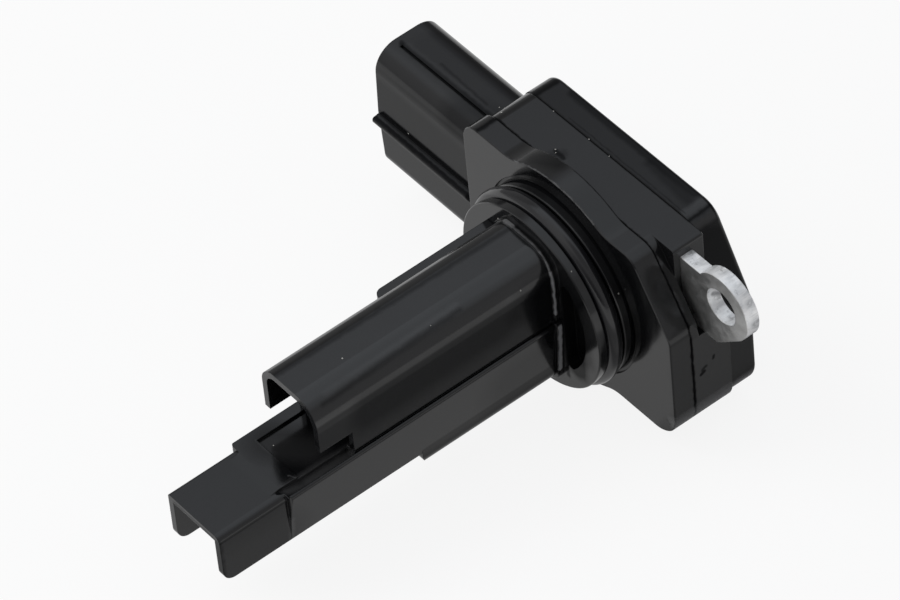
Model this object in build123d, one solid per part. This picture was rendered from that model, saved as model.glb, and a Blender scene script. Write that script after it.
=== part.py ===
from build123d import *
import math
import os

# Plug-in mass airflow sensor, in millimetres.
# The origin is where the spigot's axis meets the seating face of the flange.
# The probe points along -Y, the connector along -X, and +Z runs up across the head.

# Common limits
same_place = 1e-3
smallest_radius = 0.3

# Head, seen along the spigot's axis
head_left = -15.9
head_right = 18.05
head_half_height = 12.15
head_left_corner_radius = 2.6
head_low_corner_radius = 3.5
corner_cut_width = 5.65
corner_cut_end_z = 3.4
corner_cut_radius = 2.2
bulge_radius = 14.3
bulge_blend_share = 1.0293

# Head, layer by layer along Y
flange_thickness = 2.85
strip_thickness = 1.1
block_rear_y = 8.15
rear_cover_thickness = 3.72
seam_chamfer = 0.12

# Connector housing: the strip behind the flange and the block behind that
strip_inset = 0.35
block_left_inset = 0.5
block_shoulder_depth = 3.45
block_ledge_z = 1.9
block_corner_radius = 0.5
cavity_wall = 1.7
cavity_floor_y = 4.3
cavity_right_wall = 7.85
cavity_corner_radius = 1.5

# Rear cover
rear_cover_inset = 0.4
rear_cover_left_overhang = 0.1
rear_cover_side_gap = 0.1
rear_cover_corner_radius = 3.0
rear_cover_edge_radius = 0.6
rear_cover_cut_width = 5.78
rear_cover_cut_end_z = 1.9
lid_lip_depth = 1.0
lid_lip_wall = 0.8
lid_clearance = 0.1

# Spigot
rear_collar_radius = 11.8
rear_collar_length = 1.15
nose_collar_radius = 11.5
nose_collar_length = 1.13
seal_groove_width = 2.15
seal_groove_radius = 10.15
seal_section_diameter = 2.0
collar_edge_chamfer = 0.12
collar_relief_width = 0.4
collar_relief_depth = 0.3
seal_section_sides = 12
core_pocket_radius = 9.15
core_pocket_clearance = 0.4
core_pocket_depth = 1.5
core_pocket_corner_radius = 0.7

# Lower half of the probe
tip_front_y = -50.3
tip_shoulder_y = -41.3
tip_side_step = 0.82
tip_top_z = -0.15
tip_left_radius = 0.3
tip_right_radius = 0.9
tip_wall_corner_radius = 1.5
body_half_width = 5.2
body_top_z = 0.1
channel_foot_z = -7.05
channel_wall = 0.85
channel_roof = 0.8
main_roof = 1.7
box_front_y = -23.6
box_side_step = 0.75
box_foot_z = -9.2
box_floor = 0.95
box_foot_radius = 1.5
box_front_radius = 1.6
body_left_radius = 0.12
body_right_radius = 0.45
body_shoulder_radius = 0.5
ramp_front_y = -42.6
plate_left_clearance = 0.13
plate_right_clearance = 0.56
plate_front_y = -38.9
plate_depth = 0.35
gutter_front_y = -42.0
gutter_level_y = -38.6
gutter_depth = 0.8
gutter_wall = 0.35
foot_groove_depth = 0.6
return_half_width = 3.0
return_front_y = -13.4
return_rear_y = -8.6
body_rear_wall = 2.6
body_lip_length = 0.75
body_lip_height = 0.22

# Upper half of the probe
cover_front_y = -36.6
cover_wall = 0.85
cover_side_step = 0.52
cover_top_z = 9.6
cover_left_radius = 2.35
cover_right_radius = 3.45
window_length = 4.3
window_top_z = 3.2
cover_lip_length = 0.5
cover_lip_height = 0.2
rail_front_y = -20.2
rail_reach = 1.85
rail_top_z = 7.0
rail_thickness = 1.0
rail_corner_radius = 1.0

# Connector shroud
shroud_reach = 17.7
shroud_front_y = 1.45
shroud_rear_y = 10.73
shroud_top_z = 8.1
shroud_bottom_z = -9.88
shroud_crown = 0.35
shroud_front_radius = 3.1
shroud_rear_radius = 2.85
shroud_low_radius = 2.2
shroud_groove_y = 4.57
shroud_groove_width = 0.34
shroud_groove_depth = 0.3
shroud_groove_from_end = 1.3
shroud_wall = 1.25
socket_depth = 12.0
key_rib_z = -1.75
key_rib_width = 1.3
key_rib_height = 0.9
key_rib_crest_width = 0.7
latch_ramp_width = 4.2
latch_ramp_height = 1.1
latch_ramp_length = 3.2
latch_ramp_from_end = 5.6

# Terminals
terminal_count = 5
terminal_pitch = 2.6
terminal_width = 0.64
terminal_length_in_socket = 7.6
terminal_tip_chamfer = 0.2
terminal_board_overlap = 2.4

# Mounting bracket
bracket_front_y = 4.8
bracket_thickness = 1.7
bracket_ring_reach = 3.05
bracket_ring_z = 8.2
bracket_ring_radius = 4.15
screw_hole_radius = 2.3
bracket_neck_top_z = 10.8
bracket_foot_reach = 2.05
bracket_root_length = 3.6

# Electronics
board_thickness = 1.0
board_clearance = 0.25
gel_height = 1.6
control_chip_size = (6.4, 1.3, 5.2)
control_chip_from_right = 4.1
control_chip_from_foot = 6.15
signal_chip_size = (4.0, 1.1, 3.2)
signal_chip_from_right = 4.6
signal_chip_from_top = 3.75
capacitor_size = (2.0, 1.0, 1.2)
capacitor_count = 3
capacitor_pitch = 2.4
capacitor_from_left = 9.7
capacitor_from_foot = 3.15

# Sensing parts in the bypass
carrier_thickness = 1.0
carrier_low_z = 2.4
carrier_high_z = 7.4
carrier_front_y = -24.0
carrier_rear_y = 1.5
carrier_clearance = 0.1
film_size = (0.3, 2.4, 3.0)
film_offset_y = 1.4
lead_width = 0.4
lead_count = 4
lead_pitch = 1.2
sealant_margin = 0.8
sealant_length = 0.8
bead_radius = 1.1
bead_length = 2.4
bead_chamfer = 0.4
bead_y = -15.6
bead_z = -4.2
wire_radius = 0.25
wire_spacing = 1.5
wire_clearance = 0.05

# Derived places
corner_cut_start_x = head_right - corner_cut_width
bulge_half_chord = math.sqrt(bulge_radius ** 2 - head_half_height ** 2)
bulge_blend_radius = bulge_blend_share * (corner_cut_start_x - bulge_half_chord)
block_left_x = head_left + block_left_inset
rear_cover_left_x = block_left_x - rear_cover_left_overhang
block_shoulder_x = head_right - block_shoulder_depth
cavity_left_x = block_left_x + cavity_wall
cavity_right_x = head_right - cavity_right_wall
cavity_half_height = head_half_height - cavity_wall
bracket_ring_x = head_right + bracket_ring_reach
bracket_foot_x = head_right + bracket_foot_reach
shroud_end_x = head_left - shroud_reach
latch_ramp_x = shroud_end_x + latch_ramp_from_end
shroud_groove_x = shroud_end_x + shroud_groove_from_end
strip_rear_y = flange_thickness + strip_thickness
head_rear_y = block_rear_y + rear_cover_thickness
groove_rear_y = -rear_collar_length
groove_front_y = groove_rear_y - seal_groove_width
spigot_front_y = groove_front_y - nose_collar_length
seal_centre_radius = seal_groove_radius + seal_section_diameter / 2
board_rear_y = cavity_floor_y + board_thickness
terminal_y = board_rear_y + terminal_width / 2
shroud_middle_z = (shroud_top_z + shroud_bottom_z) / 2
socket_floor_x = shroud_end_x + socket_depth
window_rear_y = cover_front_y + window_length
tip_half_width = body_half_width - tip_side_step
body_foot_half_width = tip_half_width
box_half_width = body_half_width - box_side_step
cover_half_width = body_half_width - cover_side_step
core_pocket_inner_x = body_half_width + core_pocket_clearance
plate_left_x = -(cover_half_width - cover_wall - plate_left_clearance)
plate_right_x = cover_half_width - cover_wall - plate_right_clearance
gutter_right_x = body_half_width - gutter_wall
carrier_middle_z = (carrier_low_z + carrier_high_z) / 2


def outline(corners):
    """Face of a closed polygon; each corner is (u, v, radius)."""
    points = [(u, v) for u, v, _ in corners]
    radii = [radius for _, _, radius in corners]
    return make_face(FilletPolyline(*points, radius=radii, close=True))


def along_y(face, front_y, rear_y):
    """Prism of a face drawn as (X, Z), from front_y back to rear_y."""
    return extrude(Plane.XZ.offset(-rear_y) * face, rear_y - front_y)


def along_x(face, low_x, high_x):
    """Prism of a face drawn as (Y, Z), from low_x to high_x."""
    return extrude(Plane.YZ.offset(low_x) * face, high_x - low_x)


def box_between(low, high):
    """Box between two opposite corners."""
    size = [b - a for a, b in zip(low, high)]
    return Pos(*low) * Box(*size, align=(Align.MIN, Align.MIN, Align.MIN))


def rod_y(radius, front_y, rear_y, x=0.0, z=0.0):
    """Round rod parallel to Y."""
    return along_y(Pos(x, z) * Circle(radius), front_y, rear_y)


def edges_at_y(solid, y):
    """Edges of a solid that lie wholly in the plane at y."""
    return [
        e for e in solid.edges()
        if all(abs((e @ t).Y - y) < same_place for t in (0.0, 0.5, 1.0))
    ]


# Head

def flange_outline():
    """Front layer of the head: a clipped rectangle with a round bulge above and below."""
    plate = outline([
        (head_left, head_half_height, head_left_corner_radius),
        (corner_cut_start_x, head_half_height, corner_cut_radius),
        (head_right, corner_cut_end_z, corner_cut_radius),
        (head_right, -head_half_height, head_low_corner_radius),
        (head_left, -head_half_height, head_left_corner_radius),
    ])
    bulged = plate + Circle(bulge_radius)
    kinks = [
        v for v in bulged.vertices()
        if abs(abs(v.X) - bulge_half_chord) < same_place
        and abs(abs(v.Y) - head_half_height) < same_place
    ]
    return fillet(kinks, bulge_blend_radius)


def strip_outline():
    """Thin strip behind the flange, set back along the clipped corner only."""
    foot_x = head_right - strip_inset
    return outline([
        (block_left_x, head_half_height, head_left_corner_radius),
        (corner_cut_start_x - strip_inset, head_half_height, corner_cut_radius),
        (foot_x, corner_cut_end_z + strip_inset, 0),
        (head_right, block_ledge_z, 0),
        (head_right, -head_half_height, head_low_corner_radius),
        (block_left_x, -head_half_height, head_left_corner_radius),
    ])


def block_outline():
    """Block of the middle layer, stepped in above the ledge that carries the bracket."""
    return outline([
        (block_left_x, head_half_height, head_left_corner_radius),
        (block_shoulder_x, head_half_height, block_corner_radius),
        (block_shoulder_x, block_ledge_z, 0),
        (head_right, block_ledge_z, 0),
        (head_right, -head_half_height, head_low_corner_radius),
        (block_left_x, -head_half_height, head_left_corner_radius),
    ])


def rear_cover_outline():
    """Rear layer of the head, with one large rounded corner."""
    right_x = head_right - rear_cover_inset
    return outline([
        (rear_cover_left_x, head_half_height, head_left_corner_radius),
        (head_right - rear_cover_cut_width, head_half_height, rear_cover_corner_radius),
        (right_x, rear_cover_cut_end_z, rear_cover_corner_radius),
        (right_x, -head_half_height, head_low_corner_radius),
        (rear_cover_left_x, -head_half_height, head_left_corner_radius),
    ])


def cavity_outline(inset=0.0):
    """Inside of the electronics cavity, as (X, Z)."""
    left_x = cavity_left_x + inset
    right_x = cavity_right_x - inset
    half_height = cavity_half_height - inset
    radius = max(cavity_corner_radius - inset, smallest_radius)
    return outline([
        (left_x, half_height, radius),
        (right_x, half_height, radius),
        (right_x, -half_height, radius),
        (left_x, -half_height, radius),
    ])


def core_pocket():
    """D-shaped recess in the nose collar's face, beside the probe."""
    rear_y = spigot_front_y + core_pocket_depth
    disc = rod_y(core_pocket_radius, spigot_front_y, rear_y)
    window = box_between(
        (core_pocket_inner_x, spigot_front_y, -core_pocket_radius),
        (core_pocket_radius, rear_y, core_pocket_radius),
    )
    pocket = disc & window
    return fillet(pocket.edges().filter_by(Axis.Y), core_pocket_corner_radius)


def spigot():
    """Round spigot: two collars with the seal groove between them."""
    rear = rod_y(rear_collar_radius, groove_rear_y, 0)
    groove = rod_y(seal_groove_radius, groove_front_y, groove_rear_y)
    nose = rod_y(nose_collar_radius, spigot_front_y, groove_front_y)
    rear = chamfer(edges_at_y(rear, groove_rear_y), collar_edge_chamfer)
    nose_edges = edges_at_y(nose, spigot_front_y) + edges_at_y(nose, groove_front_y)
    nose = chamfer(nose_edges, collar_edge_chamfer)
    return rear + groove + nose


def collar_relief():
    """Shallow ring cut into the seating face round the collar's root."""
    outer = rod_y(rear_collar_radius + collar_relief_width, 0, collar_relief_depth)
    return outer - rod_y(rear_collar_radius, 0, collar_relief_depth)


def carrier_slot(clearance):
    """Room for the ceramic plate, with a clearance all round."""
    half = carrier_thickness / 2 + clearance
    low = (-half, spigot_front_y, carrier_low_z - clearance)
    high = (half, carrier_rear_y, carrier_high_z + clearance)
    return box_between(low, high)


def wire_places():
    return [(side * wire_spacing / 2, bead_z) for side in (-1, 1)]


def wire_holes(front_y, rear_y):
    """Holes for the thermistor's two wires."""
    radius = wire_radius + wire_clearance
    return [rod_y(radius, front_y, rear_y, x, z) for x, z in wire_places()]


def lead_places():
    first = carrier_middle_z - lead_pitch * (lead_count - 1) / 2
    return [first + i * lead_pitch for i in range(lead_count)]


def lead_bar(z, margin, front_y, rear_y):
    half = lead_width / 2 + margin
    return box_between((-half, front_y, z - half), (half, rear_y, z + half))


def lead_holes(front_y, rear_y):
    """Holes for the leads between the ceramic plate and the board."""
    return [lead_bar(z, wire_clearance, front_y, rear_y) for z in lead_places()]


def base_flange():
    plate = along_y(flange_outline(), 0, flange_thickness)
    plate = chamfer(edges_at_y(plate, 0) + edges_at_y(plate, flange_thickness), seam_chamfer)
    base = plate + spigot()
    base -= collar_relief()
    base -= core_pocket()
    base -= carrier_slot(carrier_clearance)
    base -= lead_holes(carrier_rear_y, flange_thickness)
    base -= wire_holes(spigot_front_y, flange_thickness)
    return base


def o_ring():
    """Seal ring; its round section is drawn with short straight sides."""
    section = RegularPolygon(seal_section_diameter / 2, seal_section_sides)
    middle_y = (groove_front_y + groove_rear_y) / 2
    return revolve(Pos(seal_centre_radius, middle_y) * section, Axis.Y)


# Connector housing

def shroud_outline(inset=0.0):
    """Shroud section as (Y, Z): a slightly crowned front between round shoulders."""
    front = shroud_front_y + inset
    rear = shroud_rear_y - inset
    top = shroud_top_z - inset
    low = shroud_bottom_z + inset
    return outline([
        (front + shroud_crown, low, shroud_low_radius - inset),
        (front, shroud_middle_z, 0),
        (front + shroud_crown, top, shroud_front_radius - inset),
        (rear, top, shroud_rear_radius - inset),
        (rear, low, shroud_low_radius - inset),
    ])


def shroud_groove():
    """Narrow groove along the shroud's top, short of its mouth."""
    return box_between(
        (shroud_groove_x, shroud_groove_y - shroud_groove_width / 2, shroud_top_z - shroud_groove_depth),
        (head_left, shroud_groove_y + shroud_groove_width / 2, shroud_top_z),
    )


def key_rib():
    """Coding rib along the shroud's front face."""
    half = key_rib_width / 2
    crest_half = key_rib_crest_width / 2
    crest = shroud_front_y - key_rib_height
    root = shroud_front_y + shroud_wall / 2
    face = outline([
        (root, key_rib_z - half, 0),
        (crest, key_rib_z - crest_half, smallest_radius),
        (crest, key_rib_z + crest_half, smallest_radius),
        (root, key_rib_z + half, 0),
    ])
    return along_x(face, shroud_end_x, block_left_x)


def latch_ramp():
    """Ramp on the shroud's hidden rear face that the plug's latch snaps over."""
    rear = shroud_rear_y
    profile = make_face(Polyline(
        (latch_ramp_x - latch_ramp_length / 2, rear - shroud_wall / 2),
        (latch_ramp_x - latch_ramp_length / 2, rear),
        (latch_ramp_x + latch_ramp_length / 2, rear + latch_ramp_height),
        (latch_ramp_x + latch_ramp_length / 2, rear - shroud_wall / 2),
        close=True,
    ))
    ramp = extrude(profile, latch_ramp_width)
    return Pos(0, 0, shroud_middle_z - latch_ramp_width / 2) * ramp


def terminal_places():
    first = shroud_middle_z - terminal_pitch * (terminal_count - 1) / 2
    return [first + i * terminal_pitch for i in range(terminal_count)]


def terminal(z):
    """One blade: chamfered tip in the socket, tail flat on the board."""
    tip_x = socket_floor_x - terminal_length_in_socket
    tail_x = cavity_left_x + terminal_board_overlap
    half = terminal_width / 2
    blade = box_between((tip_x, terminal_y - half, z - half), (tail_x, terminal_y + half, z + half))
    tip = blade.faces().sort_by(Axis.X)[0]
    return chamfer(tip.edges(), terminal_tip_chamfer)


def connector_housing():
    strip = along_y(strip_outline(), flange_thickness, strip_rear_y)
    strip = chamfer(edges_at_y(strip, flange_thickness), seam_chamfer)
    block = along_y(block_outline(), strip_rear_y, block_rear_y)
    block = chamfer(edges_at_y(block, block_rear_y), seam_chamfer)
    shroud = along_x(shroud_outline(), shroud_end_x, cavity_left_x)
    shroud += key_rib()
    shroud += latch_ramp()
    socket = along_x(shroud_outline(shroud_wall), shroud_end_x, socket_floor_x)
    behind = box_between(
        (rear_cover_left_x - rear_cover_side_gap, block_rear_y, -head_half_height),
        (head_right, shroud_rear_y + latch_ramp_height, head_half_height),
    )
    beside_flange = box_between(
        (head_left, shroud_front_y - key_rib_height, -head_half_height),
        (head_right, flange_thickness, head_half_height),
    )
    housing = strip + block + (shroud - behind - beside_flange)
    housing -= socket
    housing -= shroud_groove()
    housing -= along_y(cavity_outline(), cavity_floor_y, block_rear_y)
    housing -= bracket_blank()
    housing -= lead_holes(flange_thickness, cavity_floor_y)
    housing -= wire_holes(flange_thickness, cavity_floor_y)
    for z in terminal_places():
        housing -= terminal(z)
    return housing


def rear_cover():
    plate = along_y(rear_cover_outline(), block_rear_y, head_rear_y)
    plate = fillet(edges_at_y(plate, head_rear_y), rear_cover_edge_radius)
    plate = chamfer(edges_at_y(plate, block_rear_y), seam_chamfer)
    lip_front_y = block_rear_y - lid_lip_depth
    lip_outer = along_y(cavity_outline(lid_clearance), lip_front_y, block_rear_y)
    lip_inner = along_y(cavity_outline(lid_clearance + lid_lip_wall), lip_front_y, block_rear_y)
    return plate + (lip_outer - lip_inner)


# Mounting bracket

def bracket_outline():
    """Ring with a straight neck above and a foot on the ledge below, tangent to the ring."""
    ring = Pos(bracket_ring_x, bracket_ring_z) * Circle(bracket_ring_radius)
    reach = math.hypot(bracket_foot_x - bracket_ring_x, block_ledge_z - bracket_ring_z)
    lean = math.atan2(bracket_ring_z - block_ledge_z, bracket_ring_x - bracket_foot_x)
    spread = math.asin(bracket_ring_radius / reach)
    tangent_length = math.sqrt(reach ** 2 - bracket_ring_radius ** 2)
    angle = lean - spread
    touch = (
        bracket_foot_x + tangent_length * math.cos(angle),
        block_ledge_z + tangent_length * math.sin(angle),
    )
    root_x = block_shoulder_x - bracket_root_length
    web = make_face(Polyline(
        (root_x, block_ledge_z),
        (bracket_foot_x, block_ledge_z),
        touch,
        (bracket_ring_x, bracket_ring_z),
        (bracket_ring_x, bracket_neck_top_z),
        (root_x, bracket_neck_top_z),
        close=True,
    ))
    return ring + web


def bracket_blank():
    """Punched plate without its hole; its root lies inside the housing."""
    return along_y(bracket_outline(), bracket_front_y, bracket_front_y + bracket_thickness)


def mounting_bracket():
    hole = rod_y(
        screw_hole_radius, bracket_front_y, bracket_front_y + bracket_thickness,
        bracket_ring_x, bracket_ring_z,
    )
    return bracket_blank() - hole


# Probe

def channel_section(half_width, foot_half_width, top_z, foot_z, top_radii, foot_radius):
    """Section of the lower half as (X, Z), its walls drawn in towards the foot."""
    left_radius, right_radius = top_radii
    return outline([
        (-half_width, top_z, left_radius),
        (half_width, top_z, right_radius),
        (foot_half_width, foot_z, foot_radius),
        (-foot_half_width, foot_z, foot_radius),
    ])


def tip_block():
    """Outside of the tip, its wall ends rounded below."""
    section = channel_section(
        tip_half_width, tip_half_width, tip_top_z, channel_foot_z,
        (tip_left_radius, tip_right_radius), 0,
    )
    block = along_y(section, tip_front_y, tip_shoulder_y)
    low_front = [
        e for e in edges_at_y(block, tip_front_y)
        if abs((e @ 0.5).Z - channel_foot_z) < same_place
    ]
    return fillet(low_front, tip_wall_corner_radius)


def main_block():
    """Outside of the wide middle length of the channel, rounded at its front corners."""
    section = channel_section(
        body_half_width, body_foot_half_width, body_top_z, channel_foot_z,
        (body_left_radius, body_right_radius), 0,
    )
    block = along_y(section, tip_shoulder_y, spigot_front_y)
    plan = make_face(Polyline(
        (-body_half_width, tip_shoulder_y), (-body_half_width, spigot_front_y),
        (body_half_width, spigot_front_y), (body_half_width, tip_shoulder_y),
        close=True,
    ))
    corners = [v for v in plan.vertices() if abs(v.Y - tip_shoulder_y) < same_place]
    plan = fillet(corners, body_shoulder_radius)
    return block & (Pos(0, 0, channel_foot_z) * extrude(plan, body_top_z - channel_foot_z))


def rear_box():
    """Deeper closed box between the channel and the spigot, its front foot rounded."""
    high_z = channel_foot_z + channel_wall
    section = channel_section(
        box_half_width, box_half_width, high_z, box_foot_z, (0, 0), box_foot_radius
    )
    side = outline([
        (box_front_y, high_z, 0),
        (box_front_y, box_foot_z, box_front_radius),
        (spigot_front_y, box_foot_z, 0),
        (spigot_front_y, high_z, 0),
    ])
    long_box = along_y(section, box_front_y, spigot_front_y)
    return long_box & along_x(side, -box_half_width, box_half_width)


def channel_void():
    """Passage under the roof: open below in front, closed below in the box."""
    half_width = body_foot_half_width - channel_wall
    tip_half = tip_half_width - channel_wall
    roof_z = tip_top_z - main_roof
    open_part = box_between((-half_width, tip_shoulder_y, box_foot_z), (half_width, box_front_y, roof_z))
    tip_part = box_between(
        (-tip_half, tip_front_y, box_foot_z), (tip_half, tip_shoulder_y, tip_top_z - channel_roof)
    )
    closed_part = box_between(
        (-half_width, box_front_y, box_foot_z + box_floor),
        (half_width, spigot_front_y - body_rear_wall, roof_z),
    )
    return open_part + tip_part + closed_part


def front_ramp():
    """Slope from the tip's roof up to the wider roof behind it."""
    profile = make_face(Polyline(
        (ramp_front_y, tip_top_z),
        (tip_shoulder_y, body_top_z),
        (tip_shoulder_y, tip_top_z),
        close=True,
    ))
    return extrude(Plane.YZ.offset(plate_left_x) * profile, plate_right_x - plate_left_x)


def inlet_plate_recess():
    """Sunk floor that leads the air from the ramp in under the cover."""
    return box_between(
        (plate_left_x, plate_front_y, body_top_z - plate_depth),
        (plate_right_x, return_rear_y, body_top_z),
    )


def gutter():
    """Deeper run beside the sunk floor, sloping down from the tip's roof."""
    profile = make_face(Polyline(
        (gutter_front_y, body_top_z),
        (gutter_front_y, tip_top_z),
        (gutter_level_y, body_top_z - gutter_depth),
        (window_rear_y, body_top_z - gutter_depth),
        (window_rear_y, body_top_z),
        close=True,
    ))
    return extrude(Plane.YZ.offset(plate_right_x) * profile, gutter_right_x - plate_right_x)


def foot_groove():
    """Groove in the body's top along the outside of the cover's right foot."""
    return box_between(
        (cover_half_width, window_rear_y, body_top_z - foot_groove_depth),
        (gutter_right_x, spigot_front_y - body_lip_length, body_top_z),
    )


def return_port():
    """Hole in the roof where the air turns down into the box."""
    return box_between(
        (-return_half_width, return_front_y, channel_foot_z),
        (return_half_width, return_rear_y, body_top_z),
    )


def bypass_body():
    body = tip_block() + main_block() + rear_box() + front_ramp()
    lip = channel_section(
        body_half_width + body_lip_height, box_half_width + body_lip_height,
        body_top_z, box_foot_z - body_lip_height,
        (body_left_radius, body_right_radius), box_foot_radius,
    )
    body += along_y(lip, spigot_front_y - body_lip_length, spigot_front_y)
    body -= channel_void()
    body -= inlet_plate_recess()
    body -= gutter()
    body -= foot_groove()
    body -= return_port()
    body -= wire_holes(spigot_front_y - body_rear_wall, spigot_front_y)
    return body


def cover_prism(front_y, rear_y, inset=0.0):
    """Length of the cover's section, open below."""
    half = cover_half_width - inset
    top = cover_top_z - inset
    section = outline([
        (-half, body_top_z, 0),
        (-half, top, cover_left_radius - inset),
        (half, top, cover_right_radius - inset),
        (half, body_top_z, 0),
    ])
    return along_y(section, front_y, rear_y)


def guide_rail():
    """Flat rail on the cover's left wall, its front corner rounded."""
    left_x = -cover_half_width - rail_reach
    right_x = -cover_half_width + cover_wall / 2
    plate = make_face(Polyline(
        (left_x, rail_front_y), (left_x, spigot_front_y),
        (right_x, spigot_front_y), (right_x, rail_front_y),
        close=True,
    ))
    corner = [
        v for v in plate.vertices()
        if abs(v.X - left_x) < same_place and abs(v.Y - rail_front_y) < same_place
    ]
    plate = fillet(corner, rail_corner_radius)
    return Pos(0, 0, rail_top_z - rail_thickness) * extrude(plate, rail_thickness)


def bypass_cover():
    outer = cover_prism(cover_front_y, spigot_front_y)
    inner = cover_prism(cover_front_y, spigot_front_y, cover_wall)
    lip = cover_prism(spigot_front_y - cover_lip_length, spigot_front_y, -cover_lip_height)
    windows = box_between(
        (-cover_half_width, cover_front_y, body_top_z),
        (cover_half_width, window_rear_y, window_top_z),
    )
    shell = outer + guide_rail() + lip
    return shell - inner - windows


# Electronics

def circuit_board():
    holes = lead_holes(cavity_floor_y, board_rear_y) + wire_holes(cavity_floor_y, board_rear_y)
    return along_y(cavity_outline(board_clearance), cavity_floor_y, board_rear_y) - holes


def chip(size, x, z):
    """Package that sits on the board."""
    width, height, depth = size
    return box_between(
        (x - width / 2, board_rear_y, z - depth / 2),
        (x + width / 2, board_rear_y + height, z + depth / 2),
    )


def control_chip():
    x = cavity_right_x - control_chip_from_right
    return chip(control_chip_size, x, control_chip_from_foot - cavity_half_height)


def signal_chip():
    x = cavity_right_x - signal_chip_from_right
    return chip(signal_chip_size, x, cavity_half_height - signal_chip_from_top)


def filter_capacitors():
    x = cavity_left_x + capacitor_from_left
    first = capacitor_from_foot - cavity_half_height
    return [chip(capacitor_size, x, first + i * capacitor_pitch) for i in range(capacitor_count)]


def thermistor_wires():
    return [rod_y(wire_radius, bead_y, board_rear_y, x, z) for x, z in wire_places()]


def element_leads():
    return [lead_bar(z, 0, carrier_rear_y, board_rear_y) for z in lead_places()]


def potting_gel():
    gel = along_y(cavity_outline(), board_rear_y, board_rear_y + gel_height)
    gel = gel - control_chip() - signal_chip()
    for part in filter_capacitors():
        gel -= part
    for z in terminal_places():
        gel -= terminal(z)
    return gel


# Sensing parts

def sensor_carrier():
    return carrier_slot(0) + box_between(
        (-carrier_thickness / 2, carrier_front_y, carrier_low_z),
        (carrier_thickness / 2, spigot_front_y, carrier_high_z),
    )


def flow_element():
    thickness, length, height = film_size
    front = carrier_front_y + film_offset_y
    return box_between(
        (carrier_thickness / 2, front, carrier_middle_z - height / 2),
        (carrier_thickness / 2 + thickness, front + length, carrier_middle_z + height / 2),
    )


def carrier_sealant():
    half = carrier_thickness / 2
    pad = box_between(
        (-half - sealant_margin, spigot_front_y - sealant_length, carrier_low_z - sealant_margin),
        (half + sealant_margin, spigot_front_y, carrier_high_z + sealant_margin),
    )
    pad = fillet(edges_at_y(pad, spigot_front_y - sealant_length), sealant_length / 2)
    return pad - sensor_carrier()


def thermistor():
    bead = rod_y(bead_radius, bead_y - bead_length / 2, bead_y + bead_length / 2, z=bead_z)
    bead = chamfer(bead.edges().filter_by(GeomType.CIRCLE), bead_chamfer)
    for wire in thermistor_wires():
        bead -= wire
    return bead


def thermistor_leads():
    return thermistor_wires()


def group(solids):
    return Compound(children=[s.solid() for s in solids])


def build_parts():
    parts = {
        "base_flange": base_flange(),
        "o_ring": o_ring(),
        "bypass_body": bypass_body(),
        "bypass_cover": bypass_cover(),
        "connector_housing": connector_housing(),
        "rear_cover": rear_cover(),
        "mounting_bracket": mounting_bracket(),
        "circuit_board": circuit_board(),
        "control_chip": control_chip(),
        "signal_chip": signal_chip(),
        "filter_capacitors": group(filter_capacitors()),
        "potting_gel": potting_gel(),
        "sensor_carrier": sensor_carrier(),
        "flow_element": flow_element(),
        "element_leads": group(element_leads()),
        "carrier_sealant": carrier_sealant(),
        "thermistor": thermistor(),
        "thermistor_leads": group(thermistor_leads()),
    }
    for i, z in enumerate(terminal_places(), start=1):
        parts[f"terminal_{i}"] = terminal(z)
    return parts


def main():
    os.makedirs("parts", exist_ok=True)
    for name, shape in build_parts().items():
        export_step(shape, f"parts/{name}.step")


main()
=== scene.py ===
import math
import random

import bmesh
import bpy
from mathutils import Matrix, Vector


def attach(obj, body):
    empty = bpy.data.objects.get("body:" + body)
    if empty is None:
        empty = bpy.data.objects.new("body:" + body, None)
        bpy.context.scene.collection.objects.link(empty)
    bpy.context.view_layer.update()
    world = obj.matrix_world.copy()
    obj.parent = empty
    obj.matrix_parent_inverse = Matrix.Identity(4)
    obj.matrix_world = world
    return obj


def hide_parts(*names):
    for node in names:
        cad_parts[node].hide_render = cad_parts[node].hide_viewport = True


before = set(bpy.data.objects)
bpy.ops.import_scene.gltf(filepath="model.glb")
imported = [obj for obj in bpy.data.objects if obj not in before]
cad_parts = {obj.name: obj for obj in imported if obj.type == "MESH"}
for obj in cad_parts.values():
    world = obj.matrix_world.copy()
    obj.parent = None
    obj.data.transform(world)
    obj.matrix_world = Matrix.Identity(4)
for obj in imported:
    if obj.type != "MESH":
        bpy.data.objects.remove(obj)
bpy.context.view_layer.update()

MM = 0.001

# Camera fitted to the photograph: angles in degrees, lengths in mm and pixels
CAMERA_AZIMUTH = 55.264
CAMERA_ELEVATION = 46.949
CAMERA_ROLL = -6.008
CAMERA_DISTANCE = 767.56
PIXELS_PER_MM = 9.327
ORIGIN_PIXEL = (562.524, 275.584)
IMAGE_SIZE = (900, 600)
SENSOR_WIDTH = 36.0
# In metres
CLIP_RANGE = (0.05, 20)


def heading(azimuth, elevation):
    """Direction for two angles in degrees; azimuth 0 is in front and 90 at the right."""
    azimuth, elevation = math.radians(azimuth), math.radians(elevation)
    return Vector((
        math.sin(azimuth) * math.cos(elevation),
        -math.cos(azimuth) * math.cos(elevation),
        math.sin(elevation),
    ))


def camera_axes():
    """The camera's right, its up, and the direction from the object back to it."""
    back = heading(CAMERA_AZIMUTH, CAMERA_ELEVATION)
    roll = math.radians(CAMERA_ROLL)
    level = (-back).cross(Vector((0, 0, 1))).normalized()
    upright = level.cross(-back)
    right = level * math.cos(roll) + upright * math.sin(roll)
    up = upright * math.cos(roll) - level * math.sin(roll)
    return right, up, back


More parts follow.
